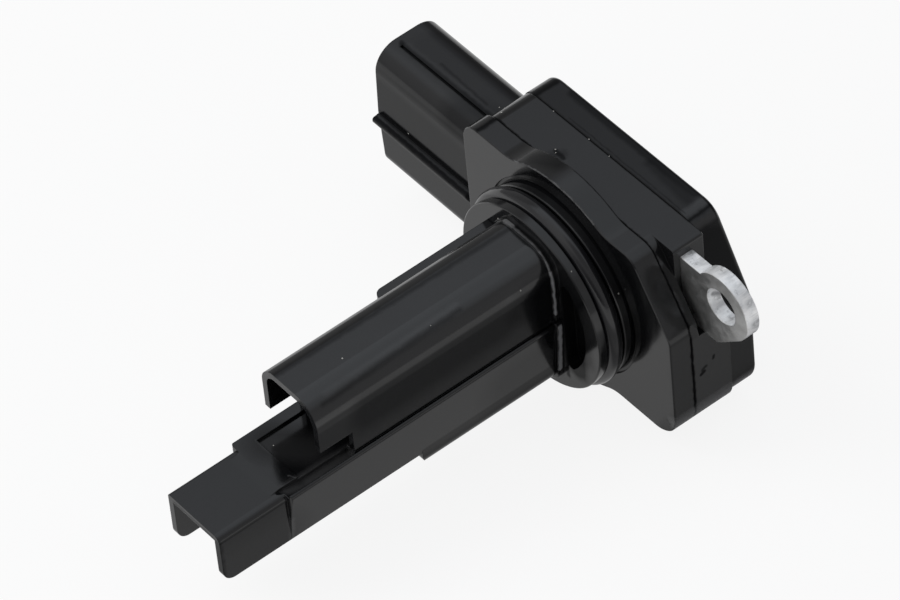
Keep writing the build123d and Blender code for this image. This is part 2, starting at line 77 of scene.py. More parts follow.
def add_camera():
    right, up, back = camera_axes()
    across = (ORIGIN_PIXEL[0] - IMAGE_SIZE[0] / 2) / PIXELS_PER_MM
    down = (ORIGIN_PIXEL[1] - IMAGE_SIZE[1] / 2) / PIXELS_PER_MM
    place = (back * CAMERA_DISTANCE - right * across + up * down) * MM
    data = bpy.data.cameras.new("camera")
    data.sensor_width = SENSOR_WIDTH
    data.lens = PIXELS_PER_MM * CAMERA_DISTANCE * SENSOR_WIDTH / IMAGE_SIZE[0]
    data.clip_start, data.clip_end = CLIP_RANGE
    camera = bpy.data.objects.new("camera", data)
    bpy.context.scene.collection.objects.link(camera)
    turn = Matrix((right, up, back)).transposed().to_4x4()
    camera.matrix_world = Matrix.Translation(place) @ turn
    bpy.context.scene.camera = camera


# Helpers for nodes

# Sockets of a Mix node for colours, given by place because their names repeat
MIX_SHARE, MIX_FIRST, MIX_SECOND, MIX_RESULT = 0, 6, 7, 2
# Values between which nearly all of a noise lies
NOISE_LOW, NOISE_HIGH = 0.3, 0.7
BEVEL_SAMPLES = 6


def new_material(name):
    """A node material, its tree and its Principled shader."""
    material = bpy.data.materials.new(name)
    material.use_nodes = True
    tree = material.node_tree
    return material, tree, tree.nodes["Principled BSDF"]


def add(tree, kind, **settings):
    node = tree.nodes.new(kind)
    for key, value in settings.items():
        setattr(node, key, value)
    return node


def maths(tree, operation, first, second):
    node = add(tree, "ShaderNodeMath", operation=operation)
    tree.links.new(first, node.inputs[0])
    tree.links.new(second, node.inputs[1])
    return node.outputs[0]


def vector_maths(tree, operation, *values):
    """A step of vector maths; each value is another node's output or a constant."""
    node = add(tree, "ShaderNodeVectorMath", operation=operation)
    for value, socket in zip(values, node.inputs):
        if isinstance(value, bpy.types.NodeSocket):
            tree.links.new(value, socket)
        else:
            socket.default_value = value
    return node


def noise(tree, coords, scale, detail, roughness=0.5, output="Fac"):
    """Noise with the given number of waves per metre."""
    node = add(tree, "ShaderNodeTexNoise")
    node.inputs["Scale"].default_value = scale
    node.inputs["Detail"].default_value = detail
    node.inputs["Roughness"].default_value = roughness
    tree.links.new(coords, node.inputs["Vector"])
    return node.outputs[output]


def ramp(tree, value, stops):
    node = add(tree, "ShaderNodeValToRGB")
    points = node.color_ramp.elements
    while len(points) < len(stops):
        points.new(0.5)
    for point, (place, colour) in zip(points, stops):
        point.position = place
        point.color = (*colour, 1)
    tree.links.new(value, node.inputs["Fac"])
    return node.outputs["Color"]


def mapped(tree, value, low, high, from_low=0.0, from_high=1.0):
    node = add(tree, "ShaderNodeMapRange")
    node.inputs["From Min"].default_value = from_low
    node.inputs["From Max"].default_value = from_high
    node.inputs["To Min"].default_value = low
    node.inputs["To Max"].default_value = high
    tree.links.new(value, node.inputs["Value"])
    return node.outputs["Result"]


def toned(tree, value, tones, low=NOISE_LOW, high=NOISE_HIGH):
    """Colour that goes from the first tone to the second with a noise."""
    first, second = tones
    return ramp(tree, value, [(low, first), (high, second)])


def spread(tree, value, limits):
    """A noise brought between two limits, such as those of a roughness."""
    return mapped(tree, value, *limits, NOISE_LOW, NOISE_HIGH)


def blend(tree, share, first, second):
    """Mix of two colours; the second may be a plain tone."""
    node = add(tree, "ShaderNodeMix", data_type="RGBA")
    tree.links.new(share, node.inputs[MIX_SHARE])
    tree.links.new(first, node.inputs[MIX_FIRST])
    if isinstance(second, tuple):
        node.inputs[MIX_SECOND].default_value = (*second, 1)
    else:
        tree.links.new(second, node.inputs[MIX_SECOND])
    return node.outputs[MIX_RESULT]


def stretched(tree, coords, scale):
    node = add(tree, "ShaderNodeMapping")
    node.inputs["Scale"].default_value = scale
    tree.links.new(coords, node.inputs["Vector"])
    return node.outputs["Vector"]


def bump(tree, height, strength, distance, normal=None):
    node = add(tree, "ShaderNodeBump")
    node.inputs["Strength"].default_value = strength
    node.inputs["Distance"].default_value = distance
    tree.links.new(height, node.inputs["Height"])
    if normal is not None:
        tree.links.new(normal, node.inputs["Normal"])
    return node.outputs["Normal"]


def soft_edges(tree, radius):
    node = add(tree, "ShaderNodeBevel", samples=BEVEL_SAMPLES)
    node.inputs["Radius"].default_value = radius
    return node.outputs["Normal"]


def object_coords(tree):
    return add(tree, "ShaderNodeTexCoord").outputs["Object"]


# Painted light and shade on the plastic

def path(points, *rest):
    """The same mark along each stretch of a path."""
    return [(start, end, *rest) for start, end in zip(points, points[1:])]


# Paths and lines are in mm
# Front edge of the head's bulge
BULGE_FRONT = [
    (-8.8, 0.0, 12.17),
    (-7.6, 0.0, 12.33),
    (-6.5, 0.0, 12.73),
    (-4.9, 0.0, 13.43),
    (-3.2, 0.0, 13.94),
    (-1.2, 0.0, 14.25),
    (1.5, 0.0, 14.22),
    (4.0, 0.0, 13.73),
    (6.3, 0.0, 12.84),
]
# Seam behind the bulge's front layer, over its top
BULGE_SEAM = [
    (-4.2, 2.85, 13.7),
    (-1.2, 2.85, 14.25),
    (2.0, 2.85, 14.16),
    (5.0, 2.85, 13.4),
    (7.6, 2.85, 12.5),
    (12.3, 2.85, 12.15),
]
# Painted shade and painted highlights laid into the plastic's shine, by node: the two ends of
# a line in mm, how far from it the mark is full and where it ends, and the shine inside it,
# where 1 is the plain surface, below 1 painted shade and above 1 a painted highlight
PAINTED_SHINE_MARKS = {
    "base_flange": [
        ((-13.35, 0.3, 12.14), (-13.35, 2.6, 12.14), 0.15, 0.5, 0.15),
        ((-14.4, 0.2, 11.8), (-14.4, 2.6, 11.8), 0.15, 0.6, 1.25),
        ((-5.0, 1.3, 13.3), (-2.4, 2.4, 14.0), 0.7, 2.0, 0.42),
        ((-13.4, 2.85, 12.15), (-8.6, 2.85, 12.15), 0.07, 0.22, 0.15),
        *path(BULGE_SEAM, 0.06, 0.2, 0.2),
        ((12.9, 2.85, 11.5), (18.05, 2.85, 3.4), 0.08, 0.25, 0.1),
        ((18.05, 2.85, 3.4), (18.05, 2.85, -12.0), 0.13, 0.3, 0.06),
        ((18.05, 1.4, 3.0), (18.05, 1.4, -9.0), 1.2, 1.6, 0.82),
        ((17.0, 0.2, -11.2), (17.0, 2.7, -11.2), 0.4, 1.2, 1.5),
        ((7.5, -4.43, 5.0), (8.3, -4.43, -2.5), 1.4, 2.6, 0.4),
        ((5.6, -4.4, 8.4), (5.6, -4.4, -8.0), 0.2, 0.5, 0.15),
        ((16.6, 0.0, -9.5), (17.0, 0.0, -10.1), 0.03, 0.16, 0.3),
        ((17.3, 0.0, -9.6), (16.95, 0.0, -10.0), 0.03, 0.14, 0.4),
        ((7.2, -3.6, -5.4), (6.9, -3.6, 5.4), 1.6, 2.5, 0.15),
    ],
    "bypass_cover": [
        ((-2.25, -36.6, 9.6), (-1.85, -4.9, 9.6), 0.1, 0.6, 0.5),
        ((-3.9, -36.6, 8.9), (-3.9, -4.9, 8.9), 0.2, 0.9, 1.25),
        ((3.6, -34.8, 8.66), (3.2, -16.0, 8.98), 0.05, 0.5, 0.62),
        ((2.95, -34.0, 9.1), (2.6, -16.0, 9.3), 0.05, 0.5, 1.18),
        ((4.68, -30.0, 4.6), (4.68, -12.0, 4.6), 1.4, 3.4, 0.5),
        ((4.68, -8.5, 5.0), (4.68, -5.5, 5.0), 1.5, 3.2, 0.5),
    ],
    "bypass_body": [
        ((-3.7, -38.95, 0.05), (3.27, -38.95, 0.05), 0.05, 0.25, 1.8),
        ((4.9, -5.18, -0.4), (4.6, -5.18, -7.8), 0.2, 0.45, 0.15),
        ((4.0, -49.5, -5.5), (4.2, -43.0, -5.5), 2.5, 5.0, 0.74),
        ((5.2, -11.0, -4.6), (5.1, -5.5, -4.6), 2.0, 6.0, 0.7),
        ((-2.4, -38.0, -0.25), (0.5, -35.5, -0.25), 1.6, 3.6, 0.42),
        ((3.95, -50.4, -7.0), (3.95, -50.4, -1.2), 0.4, 0.75, 0.25),
        ((-3.3, -50.3, -0.85), (3.3, -50.3, -0.85), 0.2, 0.5, 0.4),
        ((4.45, -23.4, -7.7), (4.45, -5.0, -7.7), 0.1, 0.8, 0.72),
        ((3.6, -23.6, -9.0), (3.6, -5.0, -9.0), 0.3, 0.9, 1.4),
    ],
    "connector_housing": [
        ((-32.3, 4.7, 8.1), (-16.5, 4.8, 8.1), 0.2, 0.55, 0.45),
        ((-32.0, 5.35, 8.1), (-17.0, 5.4, 8.1), 0.05, 0.35, 1.22),
        ((-32.7, 4.95, 8.1), (-32.3, 4.6, 8.1), 0.15, 0.4, 0.4),
        ((-27.1, 5.95, 8.1), (-19.0, 5.7, 8.1), 0.05, 0.3, 0.62),
        ((-33.2, 9.9, 7.2), (-15.5, 9.9, 7.2), 0.9, 1.7, 0.5),
        ((-31.0, 8.6, 8.0), (-15.5, 8.5, 8.0), 0.3, 1.2, 0.7),
        ((-20.5, 2.7, 7.2), (-17.0, 4.0, 8.0), 1.0, 3.4, 0.62),
        ((-33.4, 1.2, -1.27), (-16.4, 1.2, -1.27), 0.06, 0.2, 2.1),
        ((-30.0, 6.6, 8.1), (-16.0, 6.6, 8.1), 1.4, 3.0, 0.85),
        ((-33.4, 0.84, -1.34), (-16.4, 0.84, -1.34), 0.12, 0.28, 0.35),
        ((-33.0, 1.3, -2.0), (-16.5, 1.3, -2.0), 6.0, 9.5, 0.38),
        ((-17.1, 0.7, -1.5), (-16.8, 0.7, -1.5), 0.25, 0.55, 0.1),
        ((-33.4, 1.45, -0.6), (-16.4, 1.45, -0.6), 0.05, 0.3, 0.5),
        ((-13.36, 3.1, 12.1), (-13.3, 8.0, 12.1), 0.1, 0.5, 0.6),
        ((-5.3, 4.45, 12.15), (-3.9, 4.25, 12.15), 0.15, 0.4, 0.3),
        ((-5.2, 3.3, 12.15), (-4.4, 4.6, 12.15), 0.2, 1.0, 0.6),
        ((18.05, 3.9, -4.15), (18.05, 4.35, -3.95), 0.2, 0.34, 0.08),
        ((18.05, 4.1, -3.6), (18.05, 4.6, -3.35), 0.16, 0.3, 0.2),
        ((18.05, 4.2, -3.85), (18.05, 4.5, -3.7), 0.02, 0.12, 1.9),
        ((18.05, 5.7, -2.75), (18.05, 5.74, -2.45), 0.14, 0.28, 0.12),
        ((18.05, 5.5, 1.0), (18.05, 5.5, -9.0), 2.2, 2.6, 1.1),
        ((17.0, 3.0, -11.2), (17.0, 8.1, -11.2), 0.4, 1.2, 1.7),
        ((-13.4, 2.85, 12.15), (12.4, 2.85, 12.15), 0.07, 0.2, 0.15),
        ((12.6, 2.9, 11.5), (17.9, 2.9, 3.4), 0.08, 0.25, 0.1),
        ((18.05, 2.85, 3.4), (18.05, 2.85, -12.0), 0.13, 0.3, 0.06),
        ((-13.2, 8.15, 12.15), (12.2, 8.15, 12.15), 0.08, 0.24, 0.6),
    ],
    "rear_cover": [
        ((-10.5, 11.35, 12.15), (9.5, 11.3, 12.15), 0.45, 0.95, 0.42),
        ((-13.2, 8.2, 12.1), (11.6, 8.2, 12.1), 0.06, 0.22, 0.6),
        ((-8.0, 8.62, 12.15), (11.2, 8.55, 12.15), 0.02, 0.14, 0.5),
        ((16.9, 8.3, -11.2), (16.9, 11.5, -11.2), 0.4, 1.2, 2.2),
        ((3.0, 10.6, 12.15), (9.8, 10.0, 12.15), 0.3, 1.0, 0.6),
        ((-13.4, 8.4, 12.1), (-13.3, 11.0, 12.1), 0.25, 0.7, 0.3),
        ((11.95, 8.3, 11.75), (11.8, 11.6, 11.8), 0.06, 0.3, 0.3),
        ((11.1, 8.5, 12.05), (11.1, 11.4, 12.05), 0.25, 0.7, 1.8),
        ((12.7, 8.5, 11.2), (12.7, 11.4, 11.2), 0.25, 0.7, 2.0),
        ((14.2, 9.6, 8.6), (17.0, 9.6, 4.2), 2.0, 3.2, 0.5),
    ],
}
# Painted highlights along lips and edges, and paler painted patches, laid into the base colour:
# lines as above, then how much of the plastic they cover and their tone
PALE_PAINTED_LIGHT = {
    "bypass_body": [
        ((-2.4, -38.2, -0.25), (0.6, -35.4, -0.25), 1.0, 3.0, 0.7, 0.018),
        ((3.6, -40.5, -0.6), (3.8, -31.5, -0.7), 0.5, 1.2, 0.8, 0.036),
        ((5.38, -4.82, -0.3), (4.86, -4.88, -7.3), 0.15, 0.34, 0.9, 0.28),
        ((2.5, -39.55, 0.1), (3.25, -39.1, 0.05), 0.04, 0.16, 0.6, 0.06),
        ((4.75, -41.3, -3.9), (4.75, -41.3, -8.0), 0.2, 0.6, 0.8, 0.045),
    ],
    "bypass_cover": [
        ((-3.0, -4.7, 9.75), (-1.8, -4.7, 9.8), 0.15, 0.4, 0.8, 0.14),
        ((-1.8, -4.75, 9.8), (1.6, -4.8, 9.78), 0.04, 0.2, 0.8, 0.07),
        ((1.6, -4.8, 9.78), (2.9, -4.85, 9.42), 0.04, 0.17, 0.8, 0.08),
        ((2.9, -4.85, 9.42), (3.9, -4.87, 8.65), 0.04, 0.17, 0.8, 0.12),
        ((3.9, -4.87, 8.65), (4.6, -4.87, 7.55), 0.05, 0.18, 0.9, 0.17),
        ((4.6, -4.87, 7.55), (4.86, -4.87, 6.2), 0.07, 0.22, 0.9, 0.24),
        ((4.86, -4.87, 6.2), (4.88, -4.87, 1.3), 0.07, 0.24, 0.9, 0.28),
    ],
    "base_flange": [
        ((17.9, 0.2, -9.5), (17.9, 2.6, -9.5), 0.4, 1.5, 0.8, 0.11),
        *path(BULGE_FRONT, 0.03, 0.15, 0.7, 0.09),
    ],
    "connector_housing": [
        ((17.9, 3.0, -9.5), (17.9, 8.1, -9.5), 0.4, 1.5, 0.8, 0.11),
    ],
    "rear_cover": [
        ((17.5, 8.3, -10.2), (17.5, 11.5, -10.2), 0.4, 1.5, 0.8, 0.11),
    ],
}
PAINTED_LIGHT_TINT = (1.0, 1.0, 1.02)
WOBBLE_SCALE = 1100
WOBBLE_REACH = 0.0004


def line_share(tree, coords, start, end, full, fade):
    """How much of a mark is at a point: 1 near its line, 0 beyond its reach."""
    start, end = Vector(start) * MM, Vector(end) * MM
    along = end - start
    offset = vector_maths(tree, "SUBTRACT", coords, start).outputs["Vector"]
    reach = vector_maths(tree, "DOT_PRODUCT", offset, along.normalized()).outputs["Value"]
    held = add(tree, "ShaderNodeClamp")
    held.inputs["Max"].default_value = along.length
    tree.links.new(reach, held.inputs["Value"])
    foot = vector_maths(tree, "SCALE", along.normalized())
    tree.links.new(held.outputs["Result"], foot.inputs["Scale"])
    away = vector_maths(tree, "DISTANCE", offset, foot.outputs["Vector"]).outputs["Value"]
    return mapped(tree, away, 1, 0, full * MM, fade * MM)


def wobbled(tree, coords):
    """Coordinates shifted a little here and there, so marks have uneven borders."""
    shift = noise(tree, coords, WOBBLE_SCALE, detail=3, output="Color")
    centred = vector_maths(tree, "SUBTRACT", shift, (0.5, 0.5, 0.5)).outputs["Vector"]
    reach = (WOBBLE_REACH, WOBBLE_REACH, WOBBLE_REACH)
    return vector_maths(tree, "MULTIPLY_ADD", centred, reach, coords).outputs["Vector"]


# Looks: tones are linear, edges and heights are in metres, and a noise's scale is in waves
# per metre

PLASTIC_TONES = ((0.0035, 0.0036, 0.004), (0.0055, 0.0057, 0.0062))
PLASTIC_TONE_SCALE = 60
PLASTIC_ROUGHNESS = (0.1, 0.16)
PLASTIC_ROUGHNESS_SCALE = 900
PLASTIC_IOR = 1.5
PLASTIC_EDGE = 0.00014
FLOW_SCALE, FLOW_STRENGTH, FLOW_HEIGHT = 120, 0.35, 0.000012
GRAIN_SCALE, GRAIN_STRENGTH, GRAIN_HEIGHT = 2600, 0.5, 0.000003
# Specular level of the plain plastic, and each node's share of it
PLAIN_SPECULAR = 0.5
SHINE = {
    "base_flange": 1.0,
    "bypass_cover": 1.2,
    "bypass_body": 1.05,
    "connector_housing": 1.0,
    "rear_cover": 0.64,
}
# Painted shade in crevices, which lowers the shine there: how far they reach, the share of the
# shine at their bottom, and the openness at which they are darkest and at which they end
CREVICE_REACH = 0.0006
CREVICE_SHINE = 0.15
CREVICE_OPENNESS = (0.25, 0.8)
CREVICE_SAMPLES = 8

RUBBER_TONES = ((0.006, 0.006, 0.007), (0.012, 0.012, 0.013))
RUBBER_TONE_SCALE = 200
RUBBER_ROUGHNESS = (0.11, 0.17)
RUBBER_GRAIN_SCALE, RUBBER_GRAIN_STRENGTH, RUBBER_GRAIN_HEIGHT = 1500, 0.4, 0.00001
# Painted light on the seal's lower side, which is painted paler: its tone, its full share, and
# Z where it starts and where it is full
LOWER_PAINTED_LIGHT_TONE = (0.04, 0.04, 0.041)
LOWER_PAINTED_LIGHT_SHARE = 0.9
LOWER_PAINTED_LIGHT_Z = (0.002, -0.006)

PIN_TONES = ((0.6, 0.58, 0.52), (0.75, 0.72, 0.66))
PIN_ROUGHNESS = (0.2, 0.3)
PIN_ROUGHNESS_SCALE = 500
PIN_EDGE = 0.00004
STREAK_STRETCH = (1, 12, 1)
STREAK_SCALE, STREAK_STRENGTH, STREAK_HEIGHT = 300, 0.3, 0.00002

# Sheet of the ear: Y of its front face, and the depth over which the face turns into the
# punched rim
SHEET_FRONT_Y = 0.00482
RIM_DEPTH = 0.0001
FACE_TONES = ((0.56, 0.56, 0.55), (0.86, 0.86, 0.85))
FACE_TONE_LIMITS = (0.34, 0.66)
FACE_TONE_SCALE = 420
SHEET_EDGE = 0.0001
SHEET_ROUGHNESS = (0.28, 0.5)
SHEET_GRAIN_SCALE, SHEET_GRAIN_STRENGTH, SHEET_GRAIN_HEIGHT = 1500, 0.25, 0.00002
FACE_METALLIC, RIM_METALLIC = 0.92, 0.55
TORN_TONES = [(0.34, (0.5, 0.5, 0.5)), (0.44, (0.86, 0.87, 0.88)), (0.6, (0.97, 0.97, 0.97))]
TORN_SCALE, TORN_STRENGTH, TORN_HEIGHT = 900, 0.5, 0.0001
# Scores that the punch drew along Y, from a thin share of them near the front face to the
# full share at the rear
SCORED_TONE = (0.42, 0.43, 0.44)
SCORED_SCALE = 1500
SCORED_STRETCH = (1, 0.2, 1)
SCORED_LIMITS = (0.42, 0.6)
SCORED_SHARE = (0.1, 0.5)
SCORED_DEPTH = (0.0004, 0.001)
# Painted shadow inside the screw hole: its line, its full share and its tone
HOLE_SHADOW_LINE = ((18.85, 5.6, 7.9), (18.95, 6.5, 7.5), 0.12, 0.4)
HOLE_SHADOW_SHARE = 0.75
HOLE_SHADOW_TONE = (0.15, 0.15, 0.16)

# Small parts: how far the roughness strays from its mean, and the depth of the spots
SPOT_LIMITS = (0.35, 0.65)
SPOT_ROUGHNESS = (-0.05, 0.08)
SPOT_STRENGTH, SPOT_HEIGHT = 0.3, 0.00001
# Each look of an inner part with its two tones, its roughness, its noise and its nodes
INNER_LOOKS = [
    ("board_mask", (0.01, 0.09, 0.03), (0.014, 0.12, 0.045), 0.35, 300, "circuit_board"),
    ("chip_package", (0.012, 0.012, 0.013), (0.02, 0.02, 0.021), 0.45, 900,
     "control_chip", "signal_chip"),
    ("capacitor_body", (0.3, 0.2, 0.1), (0.38, 0.27, 0.15), 0.4, 600, "filter_capacitors"),
    ("gel", (0.3, 0.3, 0.27), (0.36, 0.36, 0.33), 0.12, 120, "potting_gel"),
    ("fired_ceramic", (0.68, 0.66, 0.61), (0.76, 0.74, 0.7), 0.4, 800, "sensor_carrier"),
    ("film", (0.08, 0.1, 0.14), (0.14, 0.18, 0.22), 0.15, 700, "flow_element"),
    ("sealant", (0.06, 0.06, 0.065), (0.09, 0.09, 0.095), 0.5, 500, "carrier_sealant"),
    ("bead", (0.16, 0.04, 0.02), (0.24, 0.07, 0.03), 0.18, 500, "thermistor"),
]
TERMINALS = 5


def painted_shine(tree, coords, node_name):
    """Specular level: the plain level, painted shade and painted highlights along lines, and
    painted shade in crevices.
    """
    # Painted shade: the shine falls where the surface is closed in
    crevice = add(tree, "ShaderNodeAmbientOcclusion", samples=CREVICE_SAMPLES, only_local=False)
    crevice.inputs["Distance"].default_value = CREVICE_REACH
    plain = PLAIN_SPECULAR * SHINE[node_name]
    openness = crevice.outputs["AO"]
    level = mapped(tree, openness, CREVICE_SHINE * plain, plain, *CREVICE_OPENNESS)
    for *line, inside in PAINTED_SHINE_MARKS[node_name]:
        share = line_share(tree, coords, *line)
        level = maths(tree, "MULTIPLY", level, mapped(tree, share, 1, inside))
    return level


def plastic(node_name):
    """Black moulded plastic: slight tone changes, painted light in its colour and shine, fine
    grain, flow marks and soft edges.
    """
    material, tree, shader = new_material("moulded_" + node_name)
    coords = object_coords(tree)
    uneven = wobbled(tree, coords)
    colour = toned(tree, noise(tree, coords, PLASTIC_TONE_SCALE, detail=4), PLASTIC_TONES)
    # Painted highlights and paler painted patches in the base colour
    for *line, amount, tone in PALE_PAINTED_LIGHT[node_name]:
        share = mapped(tree, line_share(tree, uneven, *line), 0, amount)
        colour = blend(tree, share, colour, tuple(tone * tint for tint in PAINTED_LIGHT_TINT))
    tree.links.new(colour, shader.inputs["Base Color"])
    fine = noise(tree, coords, PLASTIC_ROUGHNESS_SCALE, detail=5, roughness=0.6)
    tree.links.new(spread(tree, fine, PLASTIC_ROUGHNESS), shader.inputs["Roughness"])
    tree.links.new(painted_shine(tree, uneven, node_name), shader.inputs["Specular IOR Level"])
    shader.inputs["IOR"].default_value = PLASTIC_IOR
    flow = noise(tree, coords, FLOW_SCALE, detail=2)
    grain = noise(tree, coords, GRAIN_SCALE, detail=3)
    normal = bump(tree, flow, FLOW_STRENGTH, FLOW_HEIGHT, soft_edges(tree, PLASTIC_EDGE))
    normal = bump(tree, grain, GRAIN_STRENGTH, GRAIN_HEIGHT, normal)
    tree.links.new(normal, shader.inputs["Normal"])
    return material


def rubber(name):
    """Black rubber, painted paler on its lower side as painted light."""
    material, tree, shader = new_material(name)
    coords = object_coords(tree)
    tone = noise(tree, coords, RUBBER_TONE_SCALE, detail=3)
    split = add(tree, "ShaderNodeSeparateXYZ")
    tree.links.new(coords, split.inputs[0])
    # Painted light: a paler tone on the seal's lower side
    film = mapped(tree, split.outputs["Z"], 0, LOWER_PAINTED_LIGHT_SHARE, *LOWER_PAINTED_LIGHT_Z)
    colour = blend(tree, film, toned(tree, tone, RUBBER_TONES), LOWER_PAINTED_LIGHT_TONE)
    tree.links.new(colour, shader.inputs["Base Color"])
    tree.links.new(spread(tree, tone, RUBBER_ROUGHNESS), shader.inputs["Roughness"])
    grain = noise(tree, coords, RUBBER_GRAIN_SCALE, detail=3)
    normal = bump(tree, grain, RUBBER_GRAIN_STRENGTH, RUBBER_GRAIN_HEIGHT)
    tree.links.new(normal, shader.inputs["Normal"])
    return material


def drawn_pins(name):
    """Plated metal with fine streaks from drawing."""
    material, tree, shader = new_material(name)
    coords = object_coords(tree)
    drawn = stretched(tree, coords, STREAK_STRETCH)
    streaks = noise(tree, drawn, STREAK_SCALE, detail=4, roughness=0.6)
    fine = noise(tree, coords, PIN_ROUGHNESS_SCALE, detail=4)
    tree.links.new(toned(tree, streaks, PIN_TONES), shader.inputs["Base Color"])
    tree.links.new(spread(tree, fine, PIN_ROUGHNESS), shader.inputs["Roughness"])
    shader.inputs["Metallic"].default_value = 1.0
    normal = bump(tree, streaks, STREAK_STRENGTH, STREAK_HEIGHT, soft_edges(tree, PIN_EDGE))
    tree.links.new(normal, shader.inputs["Normal"])
    return material


def punched_sheet(name):
    """Plated sheet: smooth on its faces, bright and torn where the punch went through it."""
    material, tree, shader = new_material(name)
    coords = object_coords(tree)
    split = add(tree, "ShaderNodeSeparateXYZ")
    tree.links.new(coords, split.inputs[0])
    depth = split.outputs["Y"]
    rim = mapped(tree, depth, 0, 1, SHEET_FRONT_Y, SHEET_FRONT_Y + RIM_DEPTH)
    torn = noise(tree, coords, TORN_SCALE, detail=5, roughness=0.65)
    spots = noise(tree, coords, FACE_TONE_SCALE, detail=4)
    face = toned(tree, spots, FACE_TONES, *FACE_TONE_LIMITS)

    scores = noise(
        tree, stretched(tree, coords, SCORED_STRETCH), SCORED_SCALE, detail=4, roughness=0.6
    )
    scored = mapped(tree, scores, 0, 1, *SCORED_LIMITS)
    start, full = (SHEET_FRONT_Y + step for step in SCORED_DEPTH)
    rear = mapped(tree, depth, *SCORED_SHARE, start, full)
    edge = ramp(tree, torn, TORN_TONES)
    edge = blend(tree, maths(tree, "MULTIPLY", scored, rear), edge, SCORED_TONE)
    # Painted shadow inside the screw hole, laid into the rim's colour
    hole_shade = line_share(tree, wobbled(tree, coords), *HOLE_SHADOW_LINE)
    edge = blend(tree, mapped(tree, hole_shade, 0, HOLE_SHADOW_SHARE), edge, HOLE_SHADOW_TONE)

    tree.links.new(blend(tree, rim, face, edge), shader.inputs["Base Color"])
    metallic = mapped(tree, rim, FACE_METALLIC, RIM_METALLIC)
    tree.links.new(metallic, shader.inputs["Metallic"])
    tree.links.new(spread(tree, torn, SHEET_ROUGHNESS), shader.inputs["Roughness"])
    grain = noise(tree, coords, SHEET_GRAIN_SCALE, detail=4)
    normal = soft_edges(tree, SHEET_EDGE)
    normal = bump(tree, grain, SHEET_GRAIN_STRENGTH, SHEET_GRAIN_HEIGHT, normal)
    normal = bump(tree, maths(tree, "MULTIPLY", torn, rim), TORN_STRENGTH, TORN_HEIGHT, normal)
    tree.links.new(normal, shader.inputs["Normal"])
    return material


def speckled(name, dark, light, roughness, scale):
    """A tone with slight spots and an uneven shine."""
    material, tree, shader = new_material(name)
    spots = noise(tree, object_coords(tree), scale, detail=4)
    colour = toned(tree, spots, (dark, light), *SPOT_LIMITS)
    tree.links.new(colour, shader.inputs["Base Color"])
    limits = [roughness + stray for stray in SPOT_ROUGHNESS]
    tree.links.new(spread(tree, spots, limits), shader.inputs["Roughness"])
    tree.links.new(bump(tree, spots, SPOT_STRENGTH, SPOT_HEIGHT), shader.inputs["Normal"])
    return material


def dress(node, material):
    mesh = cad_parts[node].data
    mesh.materials.clear()
    mesh.materials.append(material)


def dress_nodes():
    for node in SHINE:
        dress(node, plastic(node))
    dress("o_ring", rubber("seal_rubber"))
    dress("mounting_bracket", punched_sheet("bracket_metal"))
    pins = drawn_pins("pin_metal")
    for i in range(1, TERMINALS + 1):
        dress(f"terminal_{i}", pins)
    dress("element_leads", pins)
    dress("thermistor_leads", pins)
    for name, dark, light, roughness, scale, *nodes in INNER_LOOKS:
        material = speckled(name, dark, light, roughness, scale)
        for node in nodes:
            dress(node, material)


# Pieces the plain solids lack, in mm

SEAL_CENTRE_Y = -2.225
SEAL_RING_RADIUS = 11.15
# Half the seal's height and half its width
SEAL_SECTION = (1.0, 0.98)
# Steps round the ring and round its section
SEAL_STEPS = (160, 28)
SPECK_SEED = 7
SPECK_UNEVEN = (0.65, 1.2)
SPECK_FLATNESS = 0.3
SPECK_LOOK = ((0.3, 0.29, 0.27), (0.5, 0.49, 0.46), 0.7, 4000)
# Grains of dust: place, the way the surface faces there, and size
SPECKS = [
    ((-17.64, 6.42, 8.12), (0, 0, 1), 0.1),
    ((-13.85, 3.92, 11.95), (-0.4, 0, 0.9), 0.1),
    ((-14.2, 4.6, 11.85), (-0.4, 0, 0.9), 0.08),
    ((-28.24, 1.45, -0.43), (0, -1, 0), 0.1),
    ((-5.45, 4.51, 12.17), (0, 0, 1), 0.11),
    ((-5.05, 4.2, 12.17), (0, 0, 1), 0.08),
    ((4.39, -8.82, 7.6), (0.9, 0, 0.45), 0.12),
    ((7.08, -3.93, 9.09), (0.6, 0, 0.8), 0.09),
    ((10.36, -0.44, 5.68), (0.9, 0, 0.45), 0.12),
    ((0.67, -29.78, 9.62), (0, 0, 1), 0.11),
    ((2.98, -19.8, 9.15), (0.5, 0, 0.85), 0.08),
    ((-2.17, -37.88, -0.24), (0, 0, 1), 0.09),
    ((-4.6, -4.45, 8.5), (0, -1, 0.2), 0.16),
    ((-9.99, 8.0, 12.16), (0, 0, 1), 0.07),
    ((-4.18, 8.1, 12.16), (0, 0, 1), 0.08),
    ((-0.77, 8.05, 12.16), (0, 0, 1), 0.07),
]


def add_piece(name, bm, material, smooth=True):
    """Object made from a bmesh in millimetres, riding with the sensor."""
    bmesh.ops.scale(bm, vec=(MM, MM, MM), verts=bm.verts)
    bmesh.ops.recalc_face_normals(bm, faces=bm.faces)
    mesh = bpy.data.meshes.new(name)
    bm.to_mesh(mesh)
    bm.free()
    for polygon in mesh.polygons:
        polygon.use_smooth = smooth
    mesh.materials.append(material)
    piece = bpy.data.objects.new(name, mesh)
    bpy.context.scene.collection.objects.link(piece)
    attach(piece, "root")
    return piece


